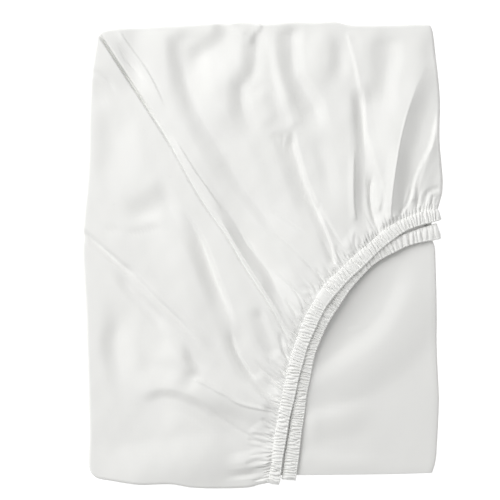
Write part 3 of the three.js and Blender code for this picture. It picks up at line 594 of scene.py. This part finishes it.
def stack_points(run, place, bend, y):
    """Middle of the doubled layer and the direction across it: each run goes from one end to the other
    at its level, and each bend is a half circle up to the next run."""
    rightward = run % 2 == 0
    start = np.where(rightward, left_end(run, y), right_end(run - 1, y))
    end = np.where(rightward, right_end(run, y), left_end(run + 1, y))
    side = np.where(rightward, 1, -1)
    turn = bend * np.pi
    x = mix(start, end, place) + side * np.sin(turn) * RUN_PITCH / 2
    z = PAIR_HALF + LAYER_THICK / 2 + run * RUN_PITCH + RUN_PITCH / 2 * (1 - np.cos(turn))
    across = np.stack([-np.sin(turn), np.zeros_like(turn), side * np.cos(turn)], axis=-1)
    return x, z, across


def stack_sheet():
    """The doubled layer on its stations, reversed so that its faces point out. Stations and rows lie
    closer where the plain panel shows."""
    hidden_steps, bend_steps, front_steps = 3, 5, 8
    top_places = np.concatenate([np.linspace(0, 0.5, 8), np.linspace(0.52, 1, 40)])
    stations = []
    for run in range(RUNS):
        last = run == RUNS - 1
        places = 1 - top_places[::-1] if last else np.linspace(0, 1, hidden_steps + 1)
        stations += [(run, place, 0) for place in places]
        if not last:
            stations += [(run, 1, i / bend_steps) for i in range(1, bend_steps)]
    run, place, bend = (column[:, None] for column in np.array(stations[::-1], float).T)
    rows_y = np.concatenate([np.linspace(-0.97, 0.1, 47), np.linspace(0.2, 1, 7)])
    front_turn = np.pi * (0.5 - np.arange(front_steps + 1) / front_steps)
    row_place = np.concatenate([rows_y[::-1], np.full(front_steps + 1, -1.0), rows_y])[None, :]
    row_turn = np.concatenate([np.full(len(rows_y), np.pi / 2), front_turn,
                               np.full(len(rows_y), -np.pi / 2)])[None, :]
    ones = np.ones((len(stations), row_place.shape[1]))
    run, place, bend, row_place, row_turn = (v * ones for v in (run, place, bend, row_place, row_turn))
    rough_x = stack_points(run, place, bend, row_place * ROUGH_HALF_DEPTH)[0]
    y = mix(look_up(STACK_FRONT, rough_x), look_up(STACK_BACK, rough_x), (row_place + 1) / 2)
    x, z, across = stack_points(run, place, bend, y)
    normals = across * np.sin(row_turn)[..., None]
    normals[..., 1] = -np.cos(row_turn)
    share = np.clip((z - RUN_PITCH) / (STACK_TOP - RUN_PITCH), 0, 1)
    faint = soft_waves(x, y, seed=8, lengths=(90, 64, 47, 38), height=0.25)
    wave = share * (fold_height(PANEL_FOLDS, x, y) + faint)
    middle = np.stack([x, y, z + wave], axis=-1) + normals * PAIR_HALF
    half = LAYER_THICK / 2
    return closed_sheet(middle + normals * half, middle - normals * half)


# ---- the inner pocket ----
INNER_START = 0.7               # its cloth starts this far under the middle of the top run


def inner_sheet():
    """Rows across the packet at steps of y: up from the top run at the left, a quarter round, then
    over the stack to the edge under the lower edging."""
    rows_y = np.concatenate([np.linspace(-241, 18, 44), np.linspace(30, 243, 8)])
    far_x = 183.0
    columns, roll_steps = 14, 4
    foot = STACK_TOP - PAIR_HALF - LAYER_THICK / 2 - INNER_START
    order = np.argsort(lower_edge[:, 1])
    edge_x = np.interp(rows_y, lower_edge[order, 1], lower_edge[order, 0], right=far_x)
    end_x = np.minimum(far_x, edge_x + TUCK)
    wall_x = left_end(np.full(rows_y.shape, RUNS), rows_y)
    turn = np.linspace(0, np.pi / 2, roll_steps + 1)
    roll_x = wall_x[:, None] + INNER_ROLL * (1 - np.cos(turn))
    roll_z = INNER_LEVEL - INNER_ROLL * (1 - np.sin(turn)) + 0 * roll_x
    share = np.arange(1, columns + 1) / columns
    flat_x = mix((wall_x + INNER_ROLL)[:, None], end_x[:, None], share)
    x = np.concatenate([wall_x[:, None], roll_x, flat_x], axis=1)
    y = rows_y[:, None] + 0 * x
    flat_z = inner_height(flat_x, y[:, -columns:])
    z = np.concatenate([np.full((len(rows_y), 1), foot), roll_z, flat_z], axis=1)
    grid = np.stack([x, y, z], axis=-1)
    normals = -grid_normals(grid)
    half = INNER_THICK / 2
    grid, normals = grid[::-1], normals[::-1]
    return closed_sheet(grid + normals * half, grid - normals * half)


# ---- the outer pocket ----
COLUMNS, RATIO = 640, 4
WALL_STEPS, ROLL_STEPS, TOP_STEPS = 3, 9, 92
ROW_CROWDING = 1.35             # above 1, rows lie closer together near the edging
SEAM_CORNER, SEAM_CROWDING, SEAM_WIDTH = (-180, 242), 2.0, 0.03   # and columns along the corner seam
RIM_SPAN = 0.022                # share of the rim either way over which its heading is measured


def pocket_gathers(distance, share):
    """Pleats that start at the edging and die away from it, leaning along it: fine ones within 5 to
    17 mm, puckers within 14 to 32 mm and furrows within 28 to 62 mm."""
    place = share * upper_length - look_up(GATHER_LEAN, share) * distance
    place = place + 0.9 * np.sin(place / 13 + distance / 9) * smooth(0, 8, distance)

    def fan(gathers, height, nearest, spread, power):
        """Pleats of one kind. Each reaches `nearest` to `nearest + spread` mm away from the edging."""
        reach = nearest + spread * gathers.valley_value(place, gathers.reaches)
        return height * (gathers.ridge(place, power) - 0.6) * (1 - smooth(0.3 * reach, reach, distance))

    return (fan(upper_pleats, height=2.6, nearest=5, spread=12, power=0.9)
            + fan(upper_puckers, height=2.4, nearest=14, spread=18, power=0.9) * smooth(1, 7, distance)
            + fan(upper_furrows, height=1.8, nearest=28, spread=34, power=1.0) * smooth(3, 14, distance))


def pocket_grid():
    """Outer face of the pocket. Each column climbs the rim's wall, rounds the shoulder in a quarter
    circle and runs along a quadratic curve, through its guide, to the edging. Columns crowd by a bell
    about the one that starts at the seam's corner."""
    ends, rims, vias = zip(*POCKET_GUIDES)
    rim_x, rim_y = np.array(rims, float).T
    starts = nearest_on(rim_curve, rim_x, rim_y).fraction
    shares = np.linspace(ends[0], ends[-1], 2000)
    seam = np.interp(share_near(rim_curve, SEAM_CORNER), starts, ends)
    crowding = np.cumsum(1 + SEAM_CROWDING * np.exp(-((shares - seam) / SEAM_WIDTH) ** 2))
    end = np.interp(np.linspace(crowding[0], crowding[-1], COLUMNS + 1), crowding, shares)
    start = np.interp(end, ends, starts)
    rim = along(rim_curve, start)
    inward = right_hand(heading(rim_curve, start, RIM_SPAN))
    shoulder = rim + inward * POCKET_ROLL
    finish = cloth_edge(upper_curve, UPPER_REACH, end, TUCK)
    via = np.stack([np.interp(end, ends, column) for column in np.array(vias, float).T], axis=-1)
    control = 2 * via - (shoulder + finish) / 2
    f = (1 - (1 - np.arange(TOP_STEPS + 1) / TOP_STEPS) ** ROW_CROWDING)[None, :, None]
    plan = ((1 - f) ** 2 * shoulder[:, None] + 2 * f * (1 - f) * control[:, None] + f ** 2 * finish[:, None])
    x, y = plan[..., 0], plan[..., 1]
    near = nearest_on(upper_edge, x, y)
    distance = np.where(near.left, near.distance, 0)
    z = pocket_height(x, y, distance) + pocket_gathers(distance, near.fraction)
    top = z[:, :1]
    turn = np.linspace(0, np.pi / 2, ROLL_STEPS + 1)[None, :-1]
    inset = POCKET_ROLL * (1 - np.cos(turn))
    roll_z = top - POCKET_ROLL * (1 - np.sin(turn))
    wall_z = POCKET_FOOT + (roll_z[:, :1] - POCKET_FOOT) * np.arange(WALL_STEPS) / WALL_STEPS
    inset = np.concatenate([np.zeros(wall_z.shape), inset + 0 * top], axis=1)
    side = rim[:, None] + inward[:, None] * inset[..., None]
    side = np.concatenate([side, np.concatenate([wall_z, roll_z], axis=1)[..., None]], axis=-1)
    return np.concatenate([side, np.concatenate([plan, z[..., None]], axis=-1)], axis=1)[::-1]


def lowered(grid):
    """Inner face under every RATIO-th point: the lowest outer point within a cell, less the thickness,
    and on the walls the outer point moved in along its normal."""
    normals = grid_normals(grid)
    z = grid[..., 2]
    for axis in (0, 1):
        stack = [np.roll(z, k, axis=axis) for k in range(-RATIO // 2, RATIO // 2 + 1)]
        stack[0], stack[-1] = z, z
        z = np.minimum.reduce(stack)
    wall_rows = WALL_STEPS + ROLL_STEPS
    inner = grid - normals * POCKET_THICK
    inner[:, wall_rows:, :2] = grid[:, wall_rows:, :2]
    inner[:, wall_rows:, 2] = z[:, wall_rows:] - POCKET_THICK
    inner = inner[::RATIO, ::RATIO]
    inner[..., 2] = np.maximum(inner[..., 2], POCKET_FOOT)
    return inner


def pocket_sheet():
    """The pocket's cloth, closed between its outer face and the coarser inner one."""
    grid = pocket_grid()
    return closed_sheet(grid, lowered(grid), RATIO)


# ---- the edging ----
def edging_path(curve, height, foot, steps):
    """Evenly stepped stations of an edging: up from its foot, a quarter round, along the curve at its
    height, and the same down again at the far end. Gives the points and their share of the curve."""
    length = line_length(curve)

    def turned(at_start):
        """The rise from the foot and the quarter round, at either end."""
        fraction = 0.0 if at_start else 1.0
        end = along(curve, np.array(fraction))
        inwards = heading(curve, np.array(fraction), EDGING_TURN / length) * (1 if at_start else -1)
        shoulder = end + inwards * EDGING_TURN
        top = height(*shoulder)
        turn = np.linspace(0, np.pi / 2, 12)[:-1]
        reach = np.concatenate([[0], EDGING_TURN * (1 - np.cos(turn))])
        z = np.concatenate([[foot], top - EDGING_TURN * (1 - np.sin(turn))])
        part = np.column_stack([end + inwards * reach[:, None], z, np.full(len(z), fraction)])
        return part if at_start else part[::-1]

    fraction = np.linspace(EDGING_TURN / length, 1 - EDGING_TURN / length, 300)
    plan = along(curve, fraction)
    middle = np.column_stack([plan, height(plan[:, 0], plan[:, 1]), fraction])
    path = np.concatenate([turned(True), middle, turned(False)])
    reach = np.concatenate([[0], np.cumsum(np.linalg.norm(np.diff(path[:, :3], axis=0), axis=1))])
    even = np.linspace(0, reach[-1], steps + 1)
    path = np.stack([np.interp(even, reach, path[:, k]) for k in range(4)], axis=-1)
    return path[:, :3], path[:, 3], even


EDGING_STEPS, EDGING_SIDES = 1150, 36
WIDE_POWER, HIGH_POWER = 0.75, 0.6      # powers of the cosine and sine that square up the section
PLEAT_SHARE, PLEAT_POWER = 0.62, 0.75
TUCK_SHARE, TUCK_POWER = 0.38, 0.8
SCALLOP, MEAN_RIDGE = 0.07, 0.6         # how much a pleat widens the edging, about the mean pleat
# Across the edging from -1 to 1: where the line of stitches and the lip lie, their width and height.
STITCH_AT, STITCH_WIDTH, STITCH_DEPTH = -0.72, 0.07, 0.35
LIP_AT, LIP_WIDTH, LIP_HEIGHT = 0.88, 0.09, 0.8


def edging_shell(curve, sides, height, foot, pleats, tucks, droop, seed):
    """A flat tube whose section is a rounded oblong. Its right-hand border falls by the first value of
    `droop`, and by the second as well where the mouth gapes. Its upper face has pleats and wider tucks,
    which lean and wander across it and scallop its borders, a groove of stitches and a thin lip."""
    points, fraction, reach = edging_path(curve, height, foot, EDGING_STEPS)
    forward = np.gradient(points, axis=0)
    forward /= np.linalg.norm(forward, axis=1, keepdims=True)
    outward = right_hand(heading(curve, fraction))
    outward = np.column_stack([outward, np.zeros(len(outward))])
    up = np.cross(outward, forward)
    up /= np.linalg.norm(up, axis=1, keepdims=True)
    turn = np.linspace(0, 2 * np.pi, EDGING_SIDES, endpoint=False)[None, :]
    across = np.sign(np.cos(turn)) * np.abs(np.cos(turn)) ** WIDE_POWER
    level = np.abs(np.sin(turn)) ** HIGH_POWER
    first = np.argmax(fraction > 0)
    start = reach[first] - fraction[first] * line_length(curve)
    place = (reach - start)[:, None]
    lean = 0.9 * np.sin(place / 11 + seed) * across + 0.5 * np.sin(place / 3.1 + 2.3 * across + seed)
    stray = 2.0 * np.sin(place / 8 + 1.7 * across + seed)
    ridge = (PLEAT_SHARE * pleats.ridge(place + lean, PLEAT_POWER)
             + TUCK_SHARE * tucks.ridge(place + stray, TUCK_POWER))
    crinkle = 0.12 * np.sin(place * 2.1 + 5 * across + seed) * np.sin(place / 2.7 + seed)
    stitch = STITCH_DEPTH * np.exp(-((across - STITCH_AT) / STITCH_WIDTH) ** 2)
    rise = np.where(turn < np.pi, mix(EDGING_DIP, EDGING_CREST, ridge) + crinkle - stitch, -EDGING_BASE)
    lip = LIP_HEIGHT * np.exp(-((across - LIP_AT) / LIP_WIDTH) ** 2) * (turn < np.pi)
    fall = droop[0] + droop[1] * gape(points[:, 0], points[:, 1])[:, None]
    rise = rise * level + lip - fall * ((across + 1) / 2) ** 1.5
    left, right = (look_up([(row[0], row[k]) for row in sides], fraction)[:, None] for k in (1, 2))
    wide = np.where(across < 0, left, right) * (1 + SCALLOP * (ridge - MEAN_RIDGE))
    wide = wide + 0.25 * np.sin(place / 7 + seed)
    rings = (points[:, None] + outward[:, None] * (across * wide)[..., None]
             + up[:, None] * rise[..., None])
    return ring_tube(rings)


# ---- meshes ----
def srgb(colour):
    """Linear values of an sRGB hex colour."""
    parts = np.array([int(colour[i:i + 2], 16) / 255 for i in (1, 3, 5)])
    linear = np.where(parts <= 0.04045, parts / 12.92, ((parts + 0.055) / 1.055) ** 2.4)
    return (*linear, 1.0)


def new_object(name, data):
    """A new object that is in the scene."""
    item = bpy.data.objects.new(name, data)
    bpy.context.scene.collection.objects.link(item)
    return item


def make_object(name, shells, material):
    """One mesh object from closed shells of (vertices in mm, triangles)."""
    vertices, faces, count = [], [], 0
    for shell_vertices, shell_faces in shells:
        vertices.append(shell_vertices)
        faces.append(shell_faces + count)
        count += len(shell_vertices)
    vertices, faces = np.concatenate(vertices) * MM, np.concatenate(faces)
    mesh = bpy.data.meshes.new(name)
    mesh.vertices.add(len(vertices))
    mesh.vertices.foreach_set("co", vertices.astype(np.float32).ravel())
    mesh.loops.add(faces.size)
    mesh.loops.foreach_set("vertex_index", faces.astype(np.int32).ravel())
    mesh.polygons.add(len(faces))
    mesh.polygons.foreach_set("loop_start", np.arange(0, faces.size, 3, dtype=np.int32))
    mesh.polygons.foreach_set("use_smooth", np.ones(len(faces), bool))
    mesh.update(calc_edges=True)
    mesh.validate()
    mesh.materials.append(material)
    return new_object(name, mesh)


# ---- materials ----
def add_node(material, kind, settings=None, **inputs):
    """Adds a node: settings are its properties, and an input is a value or another node's output."""
    node = material.node_tree.nodes.new(kind)
    for key, value in (settings or {}).items():
        setattr(node, key, value)
    for key, value in inputs.items():
        socket = node.inputs[key.replace("_", " ")]
        if isinstance(value, bpy.types.NodeSocket):
            material.node_tree.links.new(value, socket)
        else:
            socket.default_value = value
    return node


def new_material(name):
    """A material with an empty node tree."""
    material = bpy.data.materials.new(name)
    material.use_nodes = True
    material.node_tree.nodes.clear()
    return material


MIX_A, MIX_B, MIX_RESULT = 6, 7, 2      # the colour sockets of a mix node
WAVE_RADIANS = 20                       # what a wave texture turns through in a unit of its scale


def woven_cotton(name, light, shade, thread, crinkle):
    """Plain-weave cotton, washed and unpressed: matt, with a faint sheen from loose fibres, faint ribs
    both ways and soft small crinkles. A rib is 2 pi times `thread` mm wide, coarser than a real thread,
    so that it shows."""
    material = new_material(name)
    place = add_node(material, "ShaderNodeTexCoord").outputs["Object"]
    tone = add_node(material, "ShaderNodeTexNoise", Vector=place, Scale=1 / (55 * MM), Detail=3.0)
    colour = add_node(material, "ShaderNodeMix", {"data_type": "RGBA"}, Factor=tone.outputs["Fac"])
    colour.inputs[MIX_A].default_value, colour.inputs[MIX_B].default_value = srgb(light), srgb(shade)
    ribs = [
        add_node(material, "ShaderNodeTexWave", {"bands_direction": axis}, Vector=place,
                 Scale=1 / (thread * MM) / WAVE_RADIANS, Distortion=1.5, Detail=1.0).outputs["Fac"]
        for axis in ("X", "Y")
    ]
    weave = add_node(material, "ShaderNodeMath", {"operation": "ADD"})
    for socket, rib in zip(weave.inputs, ribs):
        material.node_tree.links.new(rib, socket)
    weave_bump = add_node(material, "ShaderNodeBump", Strength=0.02, Distance=thread * MM,
                          Height=weave.outputs[0])
    crumple = add_node(material, "ShaderNodeTexNoise", Vector=place, Scale=1 / (9 * MM), Detail=4.0,
                       Roughness=0.55)
    bump = add_node(material, "ShaderNodeBump", Strength=crinkle, Distance=1.0 * MM,
                    Height=crumple.outputs["Fac"], Normal=weave_bump.outputs["Normal"])
    shader = add_node(material, "ShaderNodeBsdfPrincipled", Base_Color=colour.outputs[MIX_RESULT],
                      Normal=bump.outputs["Normal"], Roughness=0.85, IOR=1.5, Sheen_Weight=0.12,
                      Sheen_Roughness=0.5)
    add_node(material, "ShaderNodeOutputMaterial", Surface=shader.outputs[0])
    return material


# Washed percale gives soft off-white cloth. The binding is white cotton as well; its colour is painted
# lighter than the percale's, a painted highlight that offsets the shade in its gathers.
percale = woven_cotton("washed_cotton_percale", "#f0f0ed", "#ebebe9", thread=0.6, crinkle=0.12)
binding = woven_cotton("gathered_cotton_binding", "#f7f7f4", "#f1f1ef", thread=0.6, crinkle=0.1)

# ---- the pieces ----
cloth = make_object("fitted_sheet_cloth", [pocket_sheet(), stack_sheet(), inner_sheet()], percale)
upper_shell = edging_shell(upper_curve, UPPER_REACH, upper_height, foot=4, pleats=upper_pleats,
                           tucks=upper_tucks, droop=(0.0, -0.3), seed=1.0)
lower_shell = edging_shell(lower_curve, LOWER_REACH, lower_height, foot=7, pleats=lower_pleats,
                           tucks=lower_tucks, droop=(0.6, 0.3), seed=4.0)
upper_band = make_object("elastic_edging_upper", [upper_shell], binding)
lower_band = make_object("elastic_edging_lower", [lower_shell], binding)

for piece, node, slot in (
    (cloth, "folded_sheet", "cotton_cloth"),
    (upper_band, "elastic_upper", "cotton_edging"),
    (lower_band, "elastic_lower", "cotton_edging"),
):
    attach(piece, "root")
    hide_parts(node)


# ---- floor, light and camera ----
FLOOR_HALF = 3.0                # half the floor's side
WORLD_STRENGTH = 0.40


def pale_floor():
    """A plain square of matt white paper, lit a little from within so that it stays white."""
    mesh = bpy.data.meshes.new("floor")
    corners = [(FLOOR_HALF * i, FLOOR_HALF * j, 0) for i, j in ((-1, -1), (1, -1), (1, 1), (-1, 1))]
    mesh.from_pydata(corners, [], [(0, 1, 2, 3)])
    material = new_material("matt_white_paper_floor")
    shader = add_node(material, "ShaderNodeBsdfPrincipled", Base_Color=srgb("#fdfdfd"), Roughness=0.9,
                      Emission_Color=srgb("#ffffff"), Emission_Strength=0.55)
    add_node(material, "ShaderNodeOutputMaterial", Surface=shader.outputs[0])
    mesh.materials.append(material)
    floor = new_object("floor", mesh)


def area_light(name, towards, elevation, distance, size, power):
    """A square soft light, `towards` degrees round from +X and up by `elevation`, aimed at the part."""
    light = bpy.data.lights.new(name, "AREA")
    light.shape, light.size, light.energy = "SQUARE", size, power
    lamp = new_object(name, light)
    turn, lift = np.radians(towards), np.radians(elevation)
    direction = np.array([np.cos(turn) * np.cos(lift), np.sin(turn) * np.cos(lift), np.sin(lift)])
    lamp.location = direction * distance
    lamp.rotation_euler = (np.pi / 2 - lift, 0, turn + np.pi / 2)


FRAME_SIDE = 550.0              # what the picture's side spans at the height of the cloth
FRAME_MIDDLE = (-13.2, 4.95, 20.0)
LENS, SENSOR = 100.0, 36.0


def overhead_camera():
    """Looks straight down, from where the picture's side spans FRAME_SIDE."""
    data = bpy.data.cameras.new("camera")
    data.lens, data.sensor_width = LENS, SENSOR
    camera = new_object("camera", data)
    height = FRAME_SIDE / 2 / (SENSOR / 2 / LENS)
    camera.location = np.array(FRAME_MIDDLE) * MM + np.array([0, 0, height * MM])
    bpy.context.scene.camera = camera


pale_floor()
area_light("key", towards=139, elevation=42, distance=2.4, size=1.87, power=50.3)
area_light("fill", towards=-30, elevation=60, distance=2.2, size=1.6, power=2.75)
world = bpy.data.worlds.new("studio")
bpy.context.scene.world = world
world.use_nodes = True
world.node_tree.nodes["Background"].inputs["Color"].default_value = (1, 1, 1, 1)
world.node_tree.nodes["Background"].inputs["Strength"].default_value = WORLD_STRENGTH
bpy.context.scene.view_settings.view_transform = "Standard"
overhead_camera()
